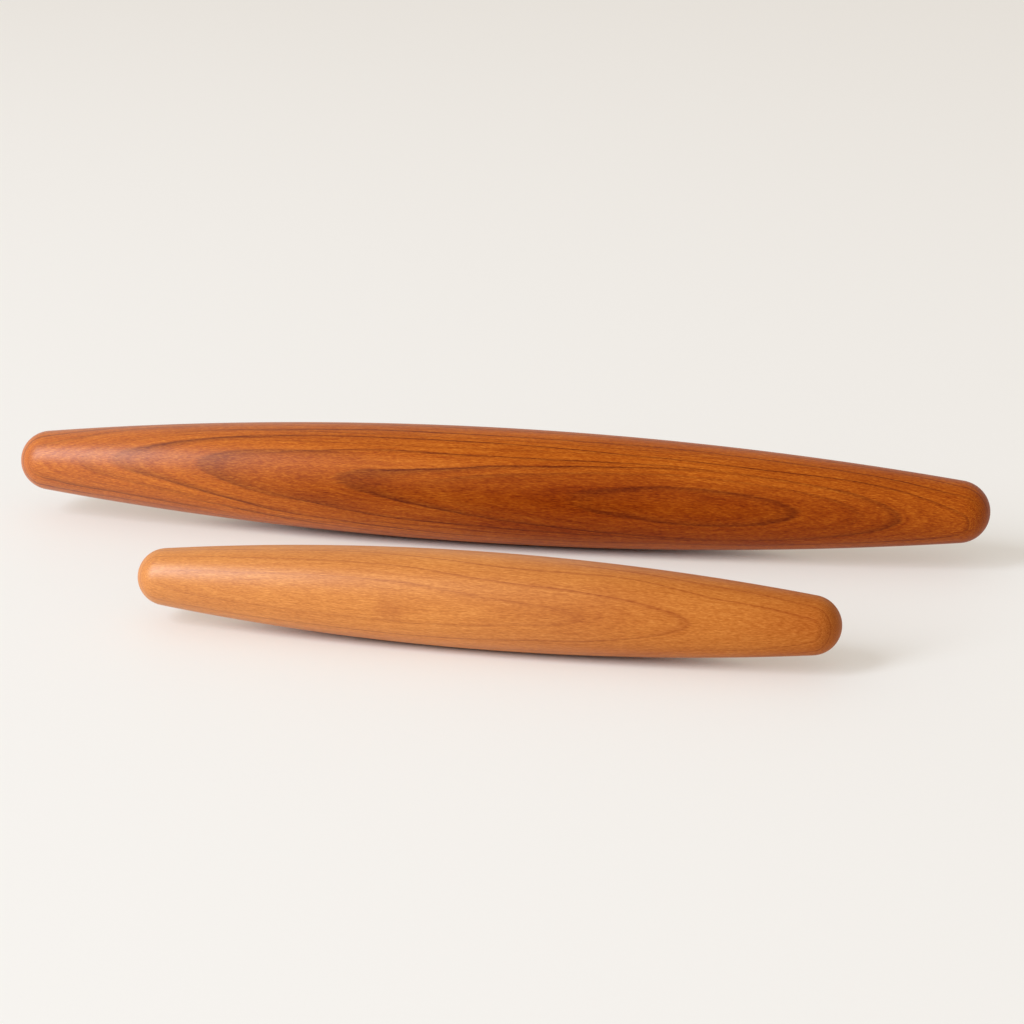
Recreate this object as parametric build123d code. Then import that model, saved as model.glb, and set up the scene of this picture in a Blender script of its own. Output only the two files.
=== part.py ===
from build123d import *
import math
import os

# A long and a short French rolling pin, lying side by side on a table.
# Each pin is turned from one blank of wood, with no handles, axle or bearings.
# The barrel is a single arc from end to end, so the pin tapers all the way out from its middle.
# Each end is a ball that runs into the barrel's arc without an edge.
# Sizes are in millimetres and angles in degrees.
# X runs along the long pin, -Y is the side where the short pin lies, and the table is at Z = 0.

# The long pin. An end diameter is the barrel's own, where its arc would reach the pin's full length.
long_length = 470.0
long_middle_diameter = 55.5
long_end_diameter = 25.8

# The short pin
short_length = 305.0
short_middle_diameter = 41.6
short_end_diameter = 22.2

# How the short pin lies beside the long one, from the middle of one to the middle of the other
axis_spacing = 127.0
short_shift = 19.0
short_turn = 1.4

# Where the barrel's belly and its shoulders end, as shares of the way from the middle to the ball.
# What is left is the taper. All of these stretches lie on the one arc, and each is a face of its own.
belly_end_share = 0.33
shoulder_end_share = 0.61


def barrel_arc_radius(length, middle_diameter, end_diameter):
    """Radius of the arc that drops from the middle radius to the end radius over half the length."""
    half_length = length / 2
    drop = (middle_diameter - end_diameter) / 2
    return (half_length**2 + drop**2) / (2 * drop)


def ball_end_radius(length, middle_diameter, barrel_radius):
    """Radius of the ball that touches the pin's end point and lies against the barrel's arc from inside.

    The ball's centre is on the pin's axis, and its distance from the arc's centre is the
    difference of the two radii. Solving that for the ball's radius gives this formula.
    """
    half_length = length / 2
    centre_depth = barrel_radius - middle_diameter / 2
    return (barrel_radius**2 - centre_depth**2 - half_length**2) / (2 * barrel_radius - length)


def barrel_stretches(barrel_radius, centre_depth, end_lean):
    """The barrel's arc from ball to ball, in stretches. A lean is the angle that a point's radius
    makes with the middle's, at the arc's centre, which lies centre_depth beyond the pin's axis."""

    def on_arc(lean):
        return (barrel_radius * math.sin(lean), barrel_radius * math.cos(lean) - centre_depth)

    ends = (-1, -shoulder_end_share, -belly_end_share, belly_end_share, shoulder_end_share, 1)
    leans = [share * end_lean for share in ends]
    return [ThreePointArc(on_arc(a), on_arc((a + b) / 2), on_arc(b)) for a, b in zip(leans, leans[1:])]


def pin_section(length, middle_diameter, end_diameter):
    """Half of the pin's long section, a face between the pin's axis and its outline."""
    half_length = length / 2
    barrel_radius = barrel_arc_radius(length, middle_diameter, end_diameter)
    ball_radius = ball_end_radius(length, middle_diameter, barrel_radius)
    centre_depth = barrel_radius - middle_diameter / 2

    # The arc and the ball meet on the line through both of their centres.
    end_lean = math.atan2(half_length - ball_radius, centre_depth)
    barrel = barrel_stretches(barrel_radius, centre_depth, end_lean)
    right_ball = TangentArc(barrel[-1] @ 1, (half_length, 0), tangent=barrel[-1] % 1)
    left_ball = TangentArc(barrel[0] @ 0, (-half_length, 0), tangent=-(barrel[0] % 0))
    axis = Line(left_ball @ 1, right_ball @ 1)
    return make_face([*barrel, right_ball, axis, left_ball])


def turned_pin(length, middle_diameter, end_diameter):
    """A pin lying along X, resting on the table with its middle over the origin."""
    section = pin_section(length, middle_diameter, end_diameter)
    return Pos(Z=middle_diameter / 2) * revolve(section, Axis.X)


def long_pin():
    return turned_pin(long_length, long_middle_diameter, long_end_diameter)


def short_pin():
    pin = turned_pin(short_length, short_middle_diameter, short_end_diameter)
    return Pos(short_shift, -axis_spacing) * Rot(Z=-short_turn) * pin


pins = {"long_pin": long_pin(), "short_pin": short_pin()}

os.makedirs("parts", exist_ok=True)
for name, pin in pins.items():
    pin.label = name
    export_step(pin, f"parts/{name}.step")
    box = pin.bounding_box()
    print(name, "volume", round(pin.volume), "from", box.min, "to", box.max)
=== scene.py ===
# %% [markdown]
# # Two French rolling pins on a pale table
#
# A French rolling pin is a single turned stick of wood: thick in the middle, tapering in one long
# shallow arc to a ball at each end. Here a long dark pin and a short light one lie side by side.
#
# The shapes come from a CAD model, loaded below as a fixed frame. Blender's share is the looks: a
# finely turned surface, and wood whose growth lines run through the solid, so that they curve into
# open ovals where the taper cuts them, as they do on the real thing.

import math

import bmesh
import bpy
from mathutils import Matrix, Vector


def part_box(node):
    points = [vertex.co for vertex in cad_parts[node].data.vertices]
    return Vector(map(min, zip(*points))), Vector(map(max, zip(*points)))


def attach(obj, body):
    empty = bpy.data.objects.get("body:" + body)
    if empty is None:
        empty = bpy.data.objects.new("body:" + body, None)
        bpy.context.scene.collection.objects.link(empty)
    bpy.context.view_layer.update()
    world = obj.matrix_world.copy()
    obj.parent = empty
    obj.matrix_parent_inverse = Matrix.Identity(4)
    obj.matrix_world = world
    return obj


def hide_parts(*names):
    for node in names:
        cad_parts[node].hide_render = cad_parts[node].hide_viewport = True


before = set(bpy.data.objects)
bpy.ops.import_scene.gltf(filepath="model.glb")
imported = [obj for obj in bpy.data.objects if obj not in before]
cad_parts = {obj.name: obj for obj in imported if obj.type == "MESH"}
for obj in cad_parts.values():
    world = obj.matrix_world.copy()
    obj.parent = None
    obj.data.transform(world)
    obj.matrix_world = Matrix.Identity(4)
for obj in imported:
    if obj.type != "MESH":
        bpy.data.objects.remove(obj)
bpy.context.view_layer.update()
print("CAD nodes:", sorted(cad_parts))

# %% [markdown]
# ## The camera
#
# The camera comes first, because every choice of colour and light is judged through it. The picture
# is square, so the lens fixes the field of view in both directions. A long lens from about a metre
# away keeps the pins' outlines calm: a wide lens up close would swell the middle of the long pin.
# The camera is aimed by a heading and a pitch, which is how a photographer would set a tripod head.

# %% Set the camera
camera_place = Vector((0.1785, -0.9782, 0.3759))
camera_heading = math.atan2(-0.169, 0.986)
camera_pitch = math.radians(20.0)
picture_width = 1024
focal_pixels = 2200.0
sensor_width = 36.0

camera_data = bpy.data.cameras.new("camera")
camera_data.sensor_width = sensor_width
camera_data.lens = focal_pixels / picture_width * sensor_width
camera_data.dof.use_dof = False
camera = bpy.data.objects.new("camera", camera_data)
camera.location = camera_place
camera.rotation_euler = (math.pi / 2 - camera_pitch, 0.0, -camera_heading)
bpy.context.scene.collection.objects.link(camera)
bpy.context.scene.camera = camera
print("lens", round(camera_data.lens, 2), "mm, heading", round(math.degrees(camera_heading), 1))

# %% [markdown]
# ## Colours
#
# Colours are easiest to choose as they look on a screen, from 0 to 255. A shader wants the amount
# of light instead, which is not in step with what the eye sees, so one helper turns the first into
# the second.


# %% A colour helper
def screen_colour(red, green, blue):
    """A colour as seen on a screen, turned into the linear light that a shader works with."""

    def linear(value):
        share = value / 255
        return share / 12.92 if share <= 0.04045 else ((share + 0.055) / 1.055) ** 2.4

    return (linear(red), linear(green), linear(blue), 1.0)


print("middle grey in linear light:", round(screen_colour(128, 128, 128)[0], 3))

# %% [markdown]
# ## Building node trees in code
#
# Every finish below is a tree of shader nodes. Written out in full, a tree is long and hard to
# follow, so a few small helpers each add one node, plug in what it needs and hand back its output.
# A value that is another node's output is linked, and anything else is typed into the socket.


# %% Add and plug in nodes
def plug(tree, socket, value):
    """Link another node's output to a socket, or type a plain value into it."""
    if isinstance(value, bpy.types.NodeSocket):
        tree.links.new(value, socket)
    else:
        socket.default_value = value


def add_node(tree, kind, inputs=(), **settings):
    """Add one shader node. The inputs are (socket, value) pairs, and the settings its own options."""
    node = tree.nodes.new("ShaderNode" + kind)
    for name, value in settings.items():
        setattr(node, name, value)
    for socket, value in inputs:
        plug(tree, node.inputs[socket], value)
    return node


def new_material(name):
    """An empty material with its output node, ready for a shader."""
    material = bpy.data.materials.new(name)
    material.use_nodes = True
    material.node_tree.nodes.clear()
    output = material.node_tree.nodes.new("ShaderNodeOutputMaterial")
    return material, material.node_tree, output


# %% Maths and colour nodes
def maths(tree, operation, *values):
    """One Math node, as its output."""
    return add_node(tree, "Math", enumerate(values), operation=operation).outputs[0]


def product(tree, *values):
    """All the values multiplied."""
    total, *rest = values
    for value in rest:
        total = maths(tree, "MULTIPLY", total, value)
    return total


def ramp(tree, value, start, end, low=0.0, high=1.0, smooth=True):
    """Low before start, high after end, and a smooth rise or fall between them."""
    inputs = ((0, value), (1, start), (2, end), (3, low), (4, high))
    kind = "SMOOTHSTEP" if smooth else "LINEAR"
    return add_node(tree, "MapRange", inputs, interpolation_type=kind).outputs[0]


def blend_colours(tree, amount, first, second):
    """The first colour where the amount is 0, and the second where it is 1."""
    node = add_node(tree, "Mix", data_type="RGBA", clamp_factor=True)
    values = {"Factor_Float": amount, "A_Color": first, "B_Color": second}
    for socket in node.inputs:
        if socket.identifier in values:
            plug(tree, socket, values[socket.identifier])
    return next(output for output in node.outputs if output.identifier == "Result_Color")


def seen_directly(tree):
    """1 for what the camera, a reflection or glass sees, and 0 for light on its way to a surface."""
    ray = add_node(tree, "LightPath").outputs
    seen = maths(tree, "MAXIMUM", ray["Is Camera Ray"], ray["Is Glossy Ray"])
    return maths(tree, "MAXIMUM", seen, ray["Is Transmission Ray"])


# %% [markdown]
# ## The table
#
# The pins lie on a painted table top. It could be modelled with its edges and legs, but only its top
# is ever seen, so a flat sheet stands in for it, big enough that its edge never comes into view. A
# sheet of one colour looks like paper, so the paint gets the faint orange-peel unevenness of a
# rolled coat, as a bump that only the soft reflections show.
#
# In a bright pale room, light from everywhere fills the shadows on such a table, a little warm where
# it comes off wood. That fill is painted here: the camera sees a warm white glow mixed into the lit
# paint. The Ambient Occlusion node tells how open a spot is. It leaves the painted fill out of the
# tight gap where a pin touches the table, and mixes painted black shade into the gap itself, which
# draws the thin dark line that makes a pin look heavy. Only the camera, reflections and glass see
# this: the light that the table throws on the pins stays as it is.

# %% Choose the paint
table_colour = screen_colour(246, 248, 250)
table_roughness = 0.55
table_polish = 0.3
peel_scale = 420.0
peel_depth = 0.0004
print("table colour in linear light:", [round(part, 3) for part in table_colour])

# %% Choose the painted fill and shade near the pins
# A metre in millimetres, because small sizes are easier to read that way
metre = 1000.0
# The colour of the painted fill light, and the black of the painted shade in the gap
painted_fill_colour = screen_colour(244, 232, 215)
painted_shade_black = screen_colour(0, 0, 0)
gap_reach = 0.01
# The share of each in the mix, and how open a spot is where the share starts and stops changing
painted_fill_share = 0.38
painted_fill_openness = (0.08, 0.5)
painted_gap_shade_share = 0.6
painted_gap_shade_openness = (0.04, 0.13)
print("how open a spot is gets judged within", gap_reach * metre, "mm of it")


# %% Mix the paint
def painted_table_finish():
    """Rolled paint, with a painted fill in its shadows and painted shade under what lies on it."""
    material, tree, output = new_material("painted_table")
    place = add_node(tree, "TexCoord").outputs["Object"]
    peel = add_node(tree, "TexNoise", (("Vector", place), ("Scale", peel_scale), ("Detail", 2.0)))
    inputs = (("Height", peel.outputs[0]), ("Strength", 0.05), ("Distance", peel_depth))
    bump = add_node(tree, "Bump", inputs)
    inputs = (("Base Color", table_colour), ("Roughness", table_roughness),
              ("Specular IOR Level", table_polish), ("Normal", bump.outputs[0]))
    surface = add_node(tree, "BsdfPrincipled", inputs).outputs[0]

    seen = seen_directly(tree)
    openness = add_node(tree, "AmbientOcclusion", (("Distance", gap_reach),)).outputs["AO"]
    # Painted fill light where a spot is open, and painted black shade where it is tight
    painted_fill = ramp(tree, openness, *painted_fill_openness, 0.0, painted_fill_share)
    painted_gap_shade = ramp(tree, openness, *painted_gap_shade_openness, painted_gap_shade_share, 0.0)
    for share, colour in ((painted_fill, painted_fill_colour), (painted_gap_shade, painted_shade_black)):
        plain = add_node(tree, "Emission", (("Color", colour),))
        inputs = ((0, product(tree, seen, share)), (1, surface), (2, plain.outputs[0]))
        surface = add_node(tree, "MixShader", inputs).outputs[0]
    tree.links.new(surface, output.inputs["Surface"])
    return material


# %% Lay the table
table_size = 14.0
half_table = table_size / 2
corners = [(x * half_table, y * half_table, 0.0) for x, y in ((-1, -1), (1, -1), (1, 1), (-1, 1))]
table_mesh = bpy.data.meshes.new("table")
table_mesh.from_pydata(corners, [], [(0, 1, 2, 3)])
table_mesh.materials.append(painted_table_finish())
table = bpy.data.objects.new("table", table_mesh)
bpy.context.scene.collection.objects.link(table)
print("table", table_size, "m across")

# %% [markdown]
# ## The light
#
# Two things light the pins. One is a tall softbox, on the left and in front, like a window: it
# gives the pins their roundness, lays a pale streak on their left ends and throws their soft shadows
# to the right. The other is the room, which comes from all sides and fills those shadows. On the
# table, a painted fill lightens them further and painted shade deepens the thin dark line where each
# pin touches. The room is brighter on the softbox's side than opposite it, as a real room with a
# window is, so the pins' right ends fall off into shade, which painted shade at the right tips
# deepens. It is also a little warmer than the window, and together they are white.
#
# The softbox stands well back, so that the table is lit almost evenly and the background stays
# plain. Its power is worked out from the light that should arrive: the room and the softbox
# together give a white surface on the table a brightness of 1, so colours render as they are
# written. A spot nearer to the lamp than the pins gets more, and one farther away less.

# %% Set the softbox
softbox_direction = Vector((-0.95, -0.85, 0.85)).normalized()
softbox_distance = 4.5
softbox_width = 1.2
softbox_height = 3.0
softbox_colour = (0.95, 1.02, 1.11)
room_share = 0.6

softbox_data = bpy.data.lights.new("softbox", "AREA")
softbox_data.shape = "RECTANGLE"
softbox_data.size = softbox_width
softbox_data.size_y = softbox_height
softbox_data.color = softbox_colour
# A lamp of this power gives the table the rest of the light, at that distance and that slant.
softbox_data.energy = (1 - room_share) * (math.pi * softbox_distance) ** 2 / softbox_direction.z
softbox = bpy.data.objects.new("softbox", softbox_data)
softbox.location = softbox_direction * softbox_distance
softbox.rotation_euler = softbox_direction.to_track_quat("Z", "Y").to_euler()
bpy.context.scene.collection.objects.link(softbox)
print("softbox", round(softbox_data.energy), "W")

# %% [markdown]
# The room is Blender's world. Its strength changes evenly from the bright side to the dark one. The
# camera, a reflection or glass that looks past the table sees a plain pale backdrop instead: two
# Background nodes are mixed by the kind of ray, so what is seen and what gives light are set apart.

# %% Light the room
room_contrast = 0.62
room_bright_side = Vector((-0.8, -0.6, 0.0))
room_colour = (1.035, 0.987, 0.925, 1.0)
backdrop_colour = screen_colour(238, 234, 228)

world = bpy.data.worlds.new("room")
bpy.context.scene.world = world
world.use_nodes = True
room = world.node_tree
room.nodes.clear()
inputs = ((0, add_node(room, "TexCoord").outputs["Generated"]), (1, room_bright_side))
sideways = add_node(room, "VectorMath", inputs, operation="DOT_PRODUCT").outputs["Value"]
low, high = room_share * (1 - room_contrast), room_share * (1 + room_contrast)
strength = ramp(room, sideways, -1.0, 1.0, low, high, smooth=False)
room_light = add_node(room, "Background", (("Color", room_colour), ("Strength", strength)))
backdrop = add_node(room, "Background", (("Color", backdrop_colour),))
inputs = ((0, seen_directly(room)), (1, room_light.outputs[0]), (2, backdrop.outputs[0]))
both = add_node(room, "MixShader", inputs)
add_node(room, "OutputWorld", (("Surface", both.outputs[0]),))
bpy.context.scene.view_settings.view_transform = "Standard"
print("room from", round(low, 2), "to", round(high, 2))

# %% [markdown]
# ## The turned shape
#
# On a lathe, a pin is made by cutting one outline while the wood spins. A cylinder could be pushed
# into that shape by eye, but it would show flats and dents in the gloss, so the mesh is made as on
# the lathe: an outline of (distance along, radius) stations, spun round the pin's axis. Two arcs
# give the whole outline. The barrel is one long shallow arc, and a small arc, the ball end, lies
# against it from inside, so there is no edge where they meet.
#
# Length, thickness and place are read from the frame. Only the width that each barrel has run down
# to at its tips isn't in the frame as a number, so it is given here.

# %% Read each pin's place and sizes
end_diameter = {"long_pin": 0.0258, "short_pin": 0.0222}


def pin_facts(node_name):
    """Where a pin's middle is, which way its axis points, and how long and thick it is."""
    low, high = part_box(node_name)
    middle = (low + high) / 2
    places = [vertex.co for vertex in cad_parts[node_name].data.vertices]
    left_tip = max((p for p in places if p.x < middle.x), key=lambda p: (p - middle).length)
    right_tip = max((p for p in places if p.x > middle.x), key=lambda p: (p - middle).length)
    axis = right_tip - left_tip
    return {
        "middle": (left_tip + right_tip) / 2,
        "turn": math.atan2(axis.y, axis.x),
        "length": axis.length,
        "thickness": high.z - low.z,
        "end": end_diameter[node_name],
    }


pins = {name: pin_facts(name) for name in ("long_pin", "short_pin")}
for name, facts in pins.items():
    sizes = [round(facts[key] * metre, 2) for key in ("length", "thickness")]
    print(name, "length and thickness", sizes, "mm, turned", round(math.degrees(facts["turn"]), 2))

# %% [markdown]
# The barrel's radius of arc follows from how much it drops over half its length. The ball's radius
# follows from two conditions: it touches the pin's end point, and its centre lies on the axis, as far
# from the arc's centre as the difference of the two radii.

# %% Work out the outline
barrel_steps = 132
ball_steps = 22


def pin_outline(length, thickness, end):
    """Stations (distance from the middle, radius) from the left tip to the right tip."""
    half = length / 2
    drop = (thickness - end) / 2
    barrel_radius = (half**2 + drop**2) / (2 * drop)
    centre_depth = barrel_radius - thickness / 2
    ball = (barrel_radius**2 - centre_depth**2 - half**2) / (2 * barrel_radius - length)

    # The angle at which the barrel's arc leans where the ball takes over, and on to the tip
    lean = math.atan2(half - ball, centre_depth)
    leans = [lean * (2 * i / barrel_steps - 1) for i in range(barrel_steps + 1)]
    turns = [lean + (math.pi / 2 - lean) * i / ball_steps for i in range(1, ball_steps + 1)]
    barrel = [(barrel_radius * math.sin(a), barrel_radius * math.cos(a) - centre_depth) for a in leans]
    right = [(half - ball + ball * math.sin(a), ball * math.cos(a)) for a in turns]
    left = [(-x, radius) for x, radius in reversed(right)]
    return left + barrel + right


for name, facts in pins.items():
    facts["outline"] = pin_outline(facts["length"], facts["thickness"], facts["end"])
    print(name, "has", len(facts["outline"]), "stations")

# %% [markdown]
# The spun mesh is rows of four-sided faces, one row for each step along the pin. It is made round the
# X axis, then turned by the small angle at which the pin lies, and the object is moved to the pin's
# middle. The wood below is worked out from that middle, so a pin can be moved without its grain
# sliding through it.
#
# The map is laid out like a label peeled off the pin, cut along the line that lies on the table, so
# that a picture of the wood laid on it has no seam where anyone looks.


# %% Measure the label
def label_sizes(stations, thickness):
    """How far along the label each station lies, from 0 to 1, and the label's height to match."""
    travelled = [0.0]
    for (x, radius), (next_x, next_radius) in zip(stations, stations[1:]):
        travelled.append(travelled[-1] + math.hypot(next_x - x, next_radius - radius))
    along = [distance / travelled[-1] for distance in travelled]
    return along, math.pi * thickness / travelled[-1]


for name, facts in pins.items():
    _, label_height = label_sizes(facts["outline"], facts["thickness"])
    print(name, "label is", round(label_height, 3), "times as high as long")

# %% Spin the outline into a mesh
segments = 112


def spun_mesh(stations, thickness):
    """Rows of faces round the X axis, closed by a fan at each tip, with the label's map on them."""
    mesh = bmesh.new()
    angles = [2 * math.pi * i / segments for i in range(segments)]
    rows = [
        [mesh.verts.new((x, radius * math.sin(a), -radius * math.cos(a))) for a in angles]
        for x, radius in stations[1:-1]
    ]
    left_tip = mesh.verts.new((stations[0][0], 0.0, 0.0))
    right_tip = mesh.verts.new((stations[-1][0], 0.0, 0.0))
    peel = mesh.loops.layers.uv.new("OFBake")
    along, height = label_sizes(stations, thickness)

    def face(corners, places):
        new_face = mesh.faces.new(corners)
        new_face.smooth = True
        for loop, (row, column) in zip(new_face.loops, places):
            loop[peel].uv = (along[row], column / segments * height)

    last = len(rows)
    for i in range(segments):
        j = (i + 1) % segments
        face((left_tip, rows[0][i], rows[0][j]), ((0, i + 0.5), (1, i), (1, i + 1)))
        face((right_tip, rows[-1][j], rows[-1][i]), ((last + 1, i + 0.5), (last, i + 1), (last, i)))
        for k in range(last - 1):
            corners = (rows[k][i], rows[k + 1][i], rows[k + 1][j], rows[k][j])
            face(corners, ((k + 1, i), (k + 2, i), (k + 2, i + 1), (k + 1, i + 1)))
    return mesh


# %% Turn both pins
def turned_pin(name, facts):
    """One pin as an object at its own place, lying at its own small angle."""
    mesh = spun_mesh(facts["outline"], facts["thickness"])
    bmesh.ops.rotate(mesh, matrix=Matrix.Rotation(facts["turn"], 3, "Z"), verts=mesh.verts)
    mesh.normal_update()
    data = bpy.data.meshes.new(name)
    mesh.to_mesh(data)
    mesh.free()
    pin = bpy.data.objects.new(name, data)
    pin.location = facts["middle"]
    bpy.context.scene.collection.objects.link(pin)
    return pin


turned = {name: turned_pin(name.replace("_pin", "_turned_pin"), pins[name]) for name in pins}
for pin in turned.values():
    print(pin.name, len(pin.data.polygons), "faces")

# %% [markdown]
# ## How wood gets its figure
#
# A tree adds one layer a year, like sleeves one over the other. The lines on a board are where its
# surface cuts those sleeves. A straight cut along them gives parallel lines. A cut that grazes a
# sleeve gives a long oval, and a tapering pin grazes several, which is why its front shows ovals
# that open one round the other.
#
# A picture of a board could be wrapped round the pin, but it would smear over the ball ends and
# leave a seam at the back. So the pattern isn't drawn on the surface. Each point of the pin is asked
# one question: how far is it from the pith, the centre line of the tree? The pith lies outside the
# pin, behind it. Where the tree had a swelling, its sleeves bulge, and the distance is changed along
# the pin by a smooth curve. The side of the pin that faces away from the pith, the crest, wanders
# slowly round it as well.

# %% A curve along the pin
# The heights between which each kind of curve stays: millimetres, degrees, millimetres and a share
swelling_span = (-2.0, 10.0)
crest_span = (50.0, 110.0)
line_span = (40.0, 60.0)
share_span = (0.0, 1.0)


def curve_along(tree, value, points, span):
    """A smooth curve through given points (place, height). Both are scaled to the node's 0 to 1."""
    start, end = points[0][0], points[-1][0]
    low, high = span
    share = ramp(tree, value, start, end, smooth=False)
    node = add_node(tree, "FloatCurve", (("Value", share),))
    curve = node.mapping.curves[0]
    scaled = [((x - start) / (end - start), (y - low) / (high - low)) for x, y in points]
    curve.points[0].location = scaled[0]
    curve.points[1].location = scaled[-1]
    for place in scaled[1:-1]:
        curve.points.new(*place)
    node.mapping.update()
    return ramp(tree, node.outputs[0], 0.0, 1.0, low, high, smooth=False)


# %% The distance from the pith
def length_of(tree, vector):
    """How long a vector is."""
    return add_node(tree, "VectorMath", ((0, vector),), operation="LENGTH").outputs["Value"]


def pith_distance(tree, place, x, wood):
    """Distance from the tree's centre line in millimetres. The place is in millimetres too."""
    swelling = curve_along(tree, x, wood["swelling"], swelling_span)
    crest = curve_along(tree, x, wood["crest"], crest_span)
    turn_back = maths(tree, "MULTIPLY", crest, -math.pi / 180)
    inputs = (("Vector", place), ("Angle", turn_back))
    faced = add_node(tree, "VectorRotate", inputs, rotation_type="X_AXIS").outputs[0]
    _, across, up = add_node(tree, "SeparateXYZ", ((0, faced),)).outputs
    outward = maths(tree, "ADD", maths(tree, "ADD", up, swelling), wood["pith"])
    return length_of(tree, add_node(tree, "CombineXYZ", ((1, across), (2, outward))).outputs[0])


# %% [markdown]
# ## Grain
#
# Nothing in wood is quite even, and everything in it is longer than it is wide. All of that comes
# from one kind of noise, stretched along the pin. The list gives the size of each kind of grain in
# millimetres, from the slow waver of the layers down to the fibres. The shift takes each kind from
# another place in the noise, so that no two of them look alike.

# %% Stretched noise
grains = {
    "waver": {"length": 45.0, "width": 14.0},
    "quiver": {"length": 16.0, "width": 1.2},
    "breaks": {"length": 60.0, "width": 12.0, "shift": 7.0},
    "clouds": {"length": 70.0, "width": 16.0, "detail": 3.0, "shift": 3.0},
    "layers": {"length": 60.0, "width": 0.35, "shift": 2.0},
    "streaks": {"length": 10.0, "width": 0.5, "shift": 11.0},
    "fibres": {"length": 2.4, "width": 0.3, "detail": 1.0, "shift": 5.0},
}
# Most of the noise lies well inside 0 to 1, so a ramp that is to use all of it runs between these.
noise_span = (0.3, 0.7)
wide_noise_span = (0.25, 0.75)
noise_middle = 0.5


def grain_noise(tree, place, length, width, detail=2.0, shift=0.0):
    """Noise whose grains are about so long and so wide, in millimetres. It runs from 0 to 1."""
    scale = (1 / length, 1 / width, 1 / width)
    inputs = (("Vector", place), ("Location", (shift, shift, shift)), ("Scale", scale))
    stretched = add_node(tree, "Mapping", inputs).outputs[0]
    inputs = (("Vector", stretched), ("Scale", 1.0), ("Detail", detail), ("Roughness", 0.55))
    return add_node(tree, "TexNoise", inputs).outputs[0]


print("finest grain", min(kind["width"] for kind in grains.values()), "mm wide")


# %% Uneven layers
def layer_distance(tree, place, x, wood):
    """The distance from the pith, with a slight unevenness that no two years share."""
    distance = pith_distance(tree, place, x, wood)
    for kind in ("waver", "quiver"):
        shift = maths(tree, "SUBTRACT", grain_noise(tree, place, **grains[kind]), noise_middle)
        distance = maths(tree, "MULTIPLY_ADD", shift, wood[kind], distance)
    return distance


# %% [markdown]
# ## Growth lines
#
# A line is the dark wood that a tree makes late in the year. Blender's Wave texture makes rings from
# a distance too, but they are all alike, which looks printed. Here each line is a few nodes of its
# own. It is crisp on the side that faces the pith and fades away from it. A year can be thicker at
# one place than at another, so a line's distance from the pith may be a curve along the pin. A faint
# line may show on part of the length only, or be stronger above the pin's axis than below it.

# %% One growth line
# How far above the axis, in millimetres, a line has all of its upper strength
upper_side = 10.0


def growth_line(tree, distance, x, height, at, dark, fade=0.5, crisp=0.12, shown=None, soft=20.0,
                sides=None):
    """One year's line: 0 away from it, and darkest at its own distance from the pith."""
    if isinstance(at, list):
        at = curve_along(tree, x, at, line_span)
    beyond = maths(tree, "SUBTRACT", distance, at)
    edge = ramp(tree, beyond, -crisp, 0.0)
    away = maths(tree, "POWER", ramp(tree, beyond, 0.0, fade, 1.0, 0.0, smooth=False), 2.0)
    line = product(tree, edge, away, dark)
    if shown:
        start, end = shown
        starts = ramp(tree, x, start, start + soft)
        ends = ramp(tree, x, end - soft, end, 1.0, 0.0)
        line = product(tree, line, starts, ends)
    if sides:
        upper, lower = sides
        line = product(tree, line, ramp(tree, height, 0.0, upper_side, lower, upper))
    return line


# %% [markdown]
# The lines that the eye can follow are listed one by one in each pin's description. The rest, round
# the back of the pin, repeat at about the same spacing, each as dark as chance has it. White noise
# gives that chance: the same number for the same year, wherever on the pin it shows.


# %% The lines along the front
break_span = (0.3, 0.6)
weakest_stretch = 0.7


def listed_lines(tree, place, distance, x, height, wood):
    """The lines that are told one by one, a little weaker on some stretches."""
    lines = 0.0
    for line in wood["lines"]:
        lines = maths(tree, "MAXIMUM", lines, growth_line(tree, distance, x, height, **line))
    breaks = grain_noise(tree, place, **grains["breaks"])
    return product(tree, lines, ramp(tree, breaks, *break_span, weakest_stretch, 1.0))


# %% The lines round the back
# The shares of a year at which its line is darkest and has faded, and how dark a line can be
set_in = 0.05
faded = 0.4
faintest = 0.15
darkest = 0.8
# How far inside the last line along the front they have all of their strength, and none of it
all_inside = 1.5
none_inside = 0.5


def inner_lines(tree, distance, wood):
    """The many years nearer to the pith than the last listed line."""
    years = maths(tree, "DIVIDE", distance, wood["year"])
    share = maths(tree, "FRACT", years)
    inputs = (("W", maths(tree, "FLOOR", years)),)
    chance = add_node(tree, "TexWhiteNoise", inputs, noise_dimensions="1D").outputs[0]
    edge = ramp(tree, share, 0.0, set_in)
    away = ramp(tree, share, set_in, faded, 1.0, 0.0)
    dark = ramp(tree, chance, 0.0, 1.0, faintest, darkest, smooth=False)
    last = wood["last_line"]
    inside = ramp(tree, distance, last - all_inside, last - none_inside, 1.0, 0.0)
    return product(tree, edge, away, dark, inside)


# %% [markdown]
# ## Colour
#
# Between the lines, the wood runs from a light colour to a dark one. How dark it is depends on the
# place along the pin, on the layer, on soft clouds, and on a few soft patches such as a knot under
# the surface leaves. The steep darkening over each right ball end is painted shade on the end that
# faces away from the softbox.
#
# The fine grain then makes each spot a little paler or deeper. Wood deepens as tea does: blue goes
# first, then green, and red stays longest. A Gamma node does that to a colour.


# %% How dark the wood is between the lines
# A patch is even up to this share of its reach, and then fades.
patch_middle = 0.2


def vector_maths(tree, operation, *values):
    """One Vector Math node on vectors, as its vector output."""
    return add_node(tree, "VectorMath", enumerate(values), operation=operation).outputs[0]


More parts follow.
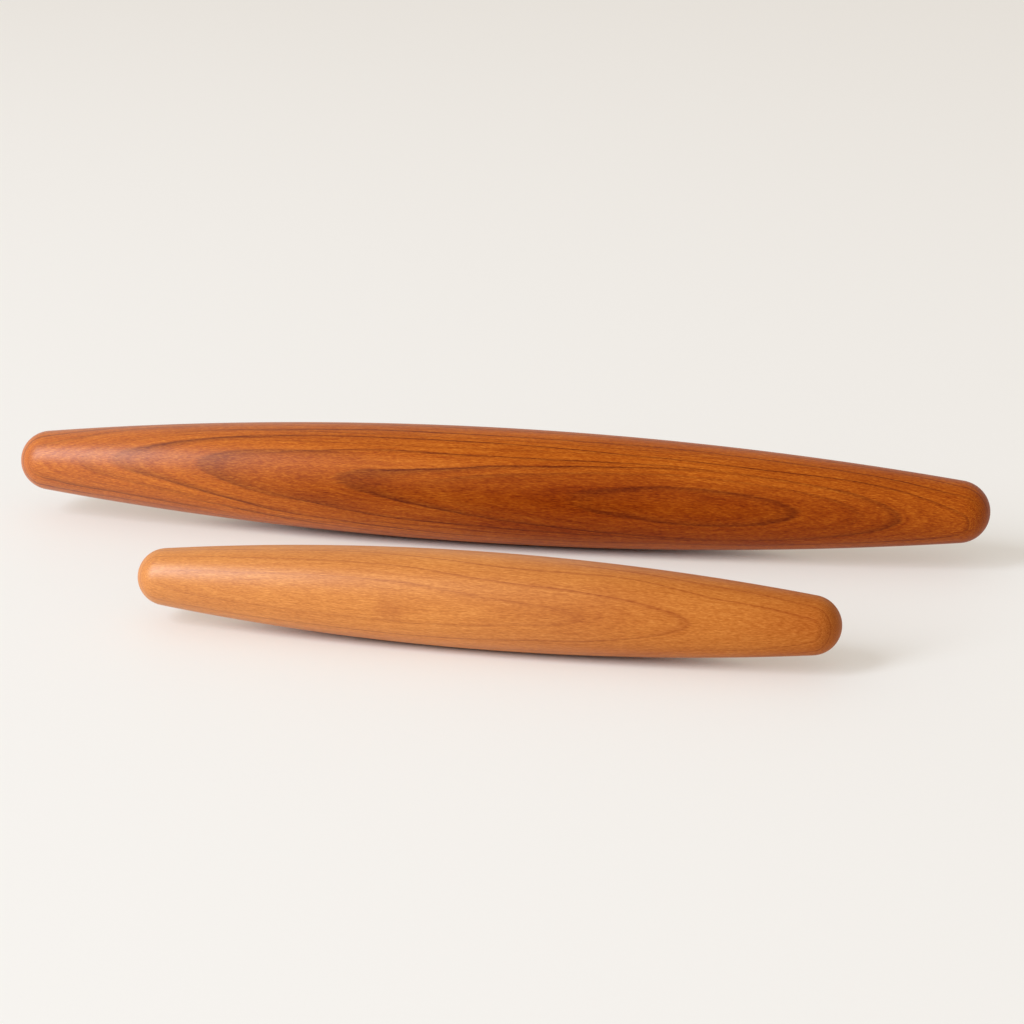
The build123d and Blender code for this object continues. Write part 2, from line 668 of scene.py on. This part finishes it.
def darkness(tree, place, distance, x, height, wood):
    """0 for the wood's light colour and 1 for its dark one, with painted shade at the right tips."""
    along = curve_along(tree, x, wood["dark_along"], share_span)
    depth = maths(tree, "MULTIPLY_ADD", height, -wood["core_tilt"], distance)
    core = product(tree, curve_along(tree, x, wood["core_along"], share_span),
                   curve_along(tree, depth, wood["core"], share_span))
    clouds = grain_noise(tree, place, **grains["clouds"])
    cloudy = ramp(tree, clouds, *noise_span, -wood["clouds"], wood["clouds"])
    dark = maths(tree, "ADD", maths(tree, "ADD", along, core), cloudy)
    for middle, reach, patch in wood["patches"]:
        off = vector_maths(tree, "DIVIDE", vector_maths(tree, "SUBTRACT", place, middle), reach)
        fading = ramp(tree, length_of(tree, off), patch_middle, 1.0, patch, 0.0)
        dark = maths(tree, "ADD", dark, fading)
    return dark


# %% Paler and deeper grain
def grained(tree, colour, noises, wood):
    """A colour made paler where the grain is light, and deeper where it is dark."""
    amount = 1.0
    for kind, noise in noises.items():
        change = ramp(tree, noise, *wide_noise_span, -wood[kind], wood[kind], smooth=False)
        amount = maths(tree, "ADD", amount, change)
    scaled = add_node(tree, "VectorMath", ((0, colour), (3, amount)), operation="SCALE").outputs[0]
    deepening = maths(tree, "SUBTRACT", 2.0, amount)
    return add_node(tree, "Gamma", ((0, scaled), (1, deepening))).outputs[0]


# %% [markdown]
# ## An oiled surface
#
# The pins are oiled, not varnished. That leaves a soft gloss which changes a little with the grain,
# hairline pores between the fibres, and a very faint sheen that lifts the edges. One end of each pin
# has been handled and rubbed more than the other, so the polish changes along it too. A clear coat
# would lie on top like glass, so the gloss is left to the wood's own surface.

# %% Oil the wood
pore_depth = 0.0001
gloss_change = 0.03
sheen_roughness = 0.4


def oiled_surface(tree, colour, x, noises, wood):
    """The shader of the finished surface."""
    rough, smooth = wood["gloss"] + gloss_change, wood["gloss"] - gloss_change
    gloss = ramp(tree, noises["streaks"], *noise_span, rough, smooth, smooth=False)
    polish = curve_along(tree, x, wood["polish_along"], share_span)
    inputs = (("Height", noises["fibres"]), ("Strength", 0.12), ("Distance", pore_depth))
    bump = add_node(tree, "Bump", inputs)
    inputs = (("Base Color", colour), ("Roughness", gloss), ("Specular IOR Level", polish),
              ("Normal", bump.outputs[0]), ("Sheen Weight", wood["sheen"]),
              ("Sheen Roughness", sheen_roughness))
    return add_node(tree, "BsdfPrincipled", inputs).outputs[0]


# %% [markdown]
# ## Wood from a description
#
# One function makes both pins' wood from a short description of the tree that it came from. Places
# along the pin are in millimetres from its middle, and distances in millimetres from the pith.
#
# - pith: how far behind the pin's axis the pith lies
# - swelling: how much the layers bulge, along the pin
# - crest: the angle of the crest, along the pin, in degrees from straight up towards the front
# - waver and quiver: how uneven the layers are, slowly and quickly
# - lines: the growth lines that can be followed, with what the growth line's function asks for
# - last_line and year: where the repeated lines take over, and how far apart they are
# - dark_along, core_along, core, core_tilt, clouds and patches: how dark the wood is between lines;
#   at the right tip, dark_along is painted shade
# - light, dark and line: its three colours
# - layers, streaks and fibres: how strong each fine grain is
# - polish_along, gloss and sheen: how the surface shines
#
# The texture's own millimetres come from the object's metres by a Mapping node. It also turns them
# back by the angle at which the pin lies, so that the grain runs along the pin.


# %% Put the wood together
def wood_finish(name, wood, turn):
    """One pin's wood, as a material."""
    material, tree, output = new_material(name)
    metres = add_node(tree, "TexCoord").outputs["Object"]
    inputs = (("Vector", metres), ("Rotation", (0.0, 0.0, -turn)), ("Scale", (metre, metre, metre)))
    place = add_node(tree, "Mapping", inputs).outputs[0]
    x, _, height = add_node(tree, "SeparateXYZ", ((0, place),)).outputs
    distance = layer_distance(tree, place, x, wood)

    lines = listed_lines(tree, place, distance, x, height, wood)
    lines = maths(tree, "MAXIMUM", lines, inner_lines(tree, distance, wood))
    dark = darkness(tree, place, distance, x, height, wood)
    colour = blend_colours(tree, dark, wood["light"], wood["dark"])
    colour = blend_colours(tree, lines, colour, wood["line"])

    # The streaks called layers follow the growth layers, and the rest follow the trunk.
    layer_place = add_node(tree, "CombineXYZ", ((0, x), (1, distance))).outputs[0]
    places = {"layers": layer_place, "streaks": place, "fibres": place}
    noises = {kind: grain_noise(tree, at, **grains[kind]) for kind, at in places.items()}
    colour = grained(tree, colour, noises, wood)
    tree.links.new(oiled_surface(tree, colour, x, noises, wood), output.inputs["Surface"])
    print(name, "has", len(tree.nodes), "nodes and", len(wood["lines"]), "lines placed by hand")
    return material


# %% [markdown]
# ## The long pin's wood
#
# The long pin is a dark red-brown wood whose ovals open on the right half of its front. The lines
# are listed from the innermost oval outwards, which on this side is towards the pith. Some years
# change so much along the pin that they are told as two or three lines, one for each stretch.

# %% Describe the long pin's lines
long_pin_lines = [
    # The innermost oval, right of the middle, and the two lines round it
    {"at": 58.4, "dark": 0.7, "fade": 0.6, "crisp": 0.2, "shown": (35, 260)},
    {"at": 56.9, "dark": 0.55, "fade": 0.4, "shown": (-40, 260), "soft": 45, "sides": (1.0, 0.4)},
    {"at": [(-235, 58.0), (-65, 56.5), (-40, 56.3), (0, 56.1), (80, 55.8), (130, 55.5), (235, 55.5)],
     "dark": 0.95, "fade": 0.6, "shown": (-90, 130), "soft": 50},
    # The next oval: its long sides, its feathered left tip and its right tip
    {"at": [(-235, 54.6), (-110, 55.0), (-80, 54.6), (-45, 54.0), (0, 54.5), (110, 55.3),
            (235, 55.3)], "dark": 0.95, "fade": 0.5, "shown": (-125, 130), "soft": 35},
    {"at": 54.7, "dark": 0.6, "fade": 1.5, "crisp": 0.25, "shown": (-155, -50), "soft": 30},
    {"at": [(-235, 55.3), (110, 55.3), (190, 55.5), (235, 55.5)], "dark": 0.7, "fade": 0.85,
     "crisp": 0.25, "shown": (95, 260), "soft": 35},
    # Two faint lines, one below that oval and one above it
    {"at": [(-235, 52.0), (-60, 52.3), (-20, 53.0), (20, 53.4), (235, 53.6)], "dark": 0.6,
     "fade": 0.4, "shown": (-65, 70), "sides": (0.2, 1.0)},
    {"at": 53.0, "dark": 0.35, "fade": 0.4, "shown": (-110, 110), "sides": (1.0, 0.0)},
    # The outermost oval: soft on the left, crisper from the middle to the right
    {"at": [(-235, 51.9), (-180, 52.15), (-165, 52.5), (-150, 52.6), (-60, 51.1), (235, 51.1)],
     "dark": 0.8, "fade": 1.1, "crisp": 0.35, "shown": (-200, -60), "soft": 45},
    {"at": [(-235, 51.9), (-150, 52.6), (-60, 51.1), (0, 51.2), (110, 53.5), (200, 52.1),
            (235, 52.1)], "dark": 1.0, "fade": 0.65, "shown": (-110, 250), "soft": 55},
    # The next years: at the lower left, above and below the ovals, and at the left end
    {"at": 50.8, "dark": 0.4, "fade": 1.2, "crisp": 0.5, "shown": (-230, -120), "soft": 30,
     "sides": (0.3, 1.0)},
    {"at": [(-235, 50.6), (-60, 49.9), (0, 50.0), (100, 51.2), (235, 51.2)], "dark": 0.55,
     "fade": 0.5, "shown": (-130, 130)},
    {"at": [(-235, 49.9), (-110, 49.5), (-45, 47.9), (0, 48.2), (80, 48.9), (180, 49.1),
            (235, 47.7)], "dark": 0.95, "fade": 0.95, "shown": (-170, 260), "soft": 60},
    {"at": 46.9, "dark": 0.8, "fade": 1.2, "crisp": 0.2, "shown": (-236, -115), "soft": 30,
     "sides": (0.65, 1.0)},
]
print("long pin:", len(long_pin_lines), "growth lines")

# %% Dress the long pin
long_pin_wood = {
    "pith": 30.0,
    "swelling": [(-235, 4.0), (-180, 3.1), (-137, 2.0), (-100, 1.0), (-60, -0.2), (-30, -0.55),
                 (10, 0.0), (55, 1.7), (100, 4.2), (147, 6.4), (180, 7.5), (235, 8.4)],
    "crest": [(-235, 76), (-200, 69), (-170, 62.5), (-130, 65), (-100, 70), (-60, 74), (-20, 77.5),
              (40, 80), (90, 81.5), (128, 83.5), (180, 84.5), (222, 95), (235, 97)],
    "waver": 0.3,
    "quiver": 0.25,
    "lines": long_pin_lines,
    "last_line": 46.5,
    "year": 2.3,
    # The steep rise over the right ball end is painted shade, on the end turned from the softbox
    "dark_along": [(-235, 0.05), (-190, 0.07), (-136, 0.14), (-81, 0.2), (-27, 0.3), (81, 0.37),
                   (136, 0.4), (190, 0.5), (222, 0.65), (235, 0.85)],
    "core_along": [(-235, 0.8), (-136, 0.8), (-60, 0.7), (-27, 0.52), (20, 0.66), (81, 0.68),
                   (136, 0.52), (235, 0.2)],
    "core": [(30, 0.0), (52.5, 0.0), (54, 0.15), (56, 0.6), (57.5, 0.95), (62, 1.0)],
    "core_tilt": 0.17,
    "clouds": 0.15,
    "patches": [((-137, -20, 5), (20, 10, 7), 0.15), ((-55, -26, 6), (18, 12, 8), 0.16),
                ((57, -26, 4), (8, 12, 8), 0.3)],
    "light": screen_colour(187, 96, 19),
    "dark": screen_colour(141, 57, 3),
    "line": screen_colour(98, 34, 4),
    "layers": 0.085,
    "streaks": 0.08,
    "fibres": 0.15,
    "polish_along": [(-235, 0.52), (-190, 0.46), (-136, 0.29), (-81, 0.17), (-30, 0.1), (30, 0.06),
                     (100, 0.06), (235, 0.07)],
    "gloss": 0.42,
    "sheen": 0.06,
}
finish = wood_finish("long_pin_wood", long_pin_wood, pins["long_pin"]["turn"])
turned["long_pin"].data.materials.append(finish)

# %% [markdown]
# ## The short pin's wood
#
# The short pin is lighter and quieter: fewer years, thinner lines, and less difference between the
# start and the end of a year. Its arches come to their tips on the right and open to the left.

# %% Dress the short pin
short_pin_wood = {
    "pith": 30.0,
    "swelling": [(-153, 8.4), (-137, 7.3), (-120, 5.9), (-90, 3.75), (-60, 2.35), (-30, 1.0), (-10, 0.3),
                 (15, 0.0), (40, 0.4), (65, 0.7), (90, 1.1), (120, 3.2), (153, 4.2)],
    "crest": [(-153, 70), (-100, 75.5), (-60, 75.5), (-20, 78.5), (0, 80.5), (40, 80.5), (90, 79),
              (120, 81.5), (153, 77)],
    "waver": 0.2,
    "quiver": 0.2,
    "lines": [
        {"at": [(-153, 50.0), (-100, 50.0), (-60, 50.5), (-20, 50.2), (40, 50.4), (153, 50.4)],
         "dark": 0.4, "fade": 0.35, "shown": (-152, 160), "soft": 25},
        {"at": [(-153, 46.9), (-100, 47.0), (-60, 47.5), (-20, 47.6), (0, 48.0), (50, 48.57),
                (90, 48.5), (153, 48.5)], "dark": 0.7, "fade": 0.5},
        {"at": [(-153, 43.6), (-20, 43.8), (20, 44.6), (40, 44.5), (60, 43.9), (80, 44.6), (110, 45.7),
                (153, 45.5)], "dark": 0.8, "fade": 0.6, "sides": (1.0, 0.6)},
        {"at": [(-153, 40.0), (35, 40.2), (153, 43.6)], "dark": 0.9, "fade": 0.9, "shown": (30, 170)},
    ],
    "last_line": 38.0,
    "year": 3.3,
    # The steep rise over the right ball end is painted shade, on the end turned from the softbox
    "dark_along": [(-153, 0.0), (-50, 0.15), (23, 0.25), (60, 0.5), (120, 0.7), (142, 0.8), (153, 1.0)],
    "core_along": [(-153, 0.0), (0, 0.2), (153, 0.2)],
    "core": [(20, 0.0), (45, 0.1), (50, 0.3), (55, 0.3)],
    "core_tilt": 0.0,
    "clouds": 0.15,
    "patches": [((-35, -20, 0.5), (9, 12, 8), 0.35)],
    "light": screen_colour(206, 128, 53),
    "dark": screen_colour(172, 91, 31),
    "line": screen_colour(150, 70, 20),
    "layers": 0.05,
    "streaks": 0.06,
    "fibres": 0.11,
    "polish_along": [(-153, 0.7), (-110, 0.55), (-50, 0.43), (0, 0.38), (40, 0.3), (80, 0.14),
                     (153, 0.05)],
    "gloss": 0.42,
    "sheen": 0.03,
}
finish = wood_finish("short_pin_wood", short_pin_wood, pins["short_pin"]["turn"])
turned["short_pin"].data.materials.append(finish)

# %% [markdown]
# ## Back to the frame
#
# Each turned pin stands for its CAD node, which is hidden, and rides on that node's body. Its finish
# was given to it above.

# %% Tie the pins to the frame
for name, pin in turned.items():
    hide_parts(name)
    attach(pin, name)
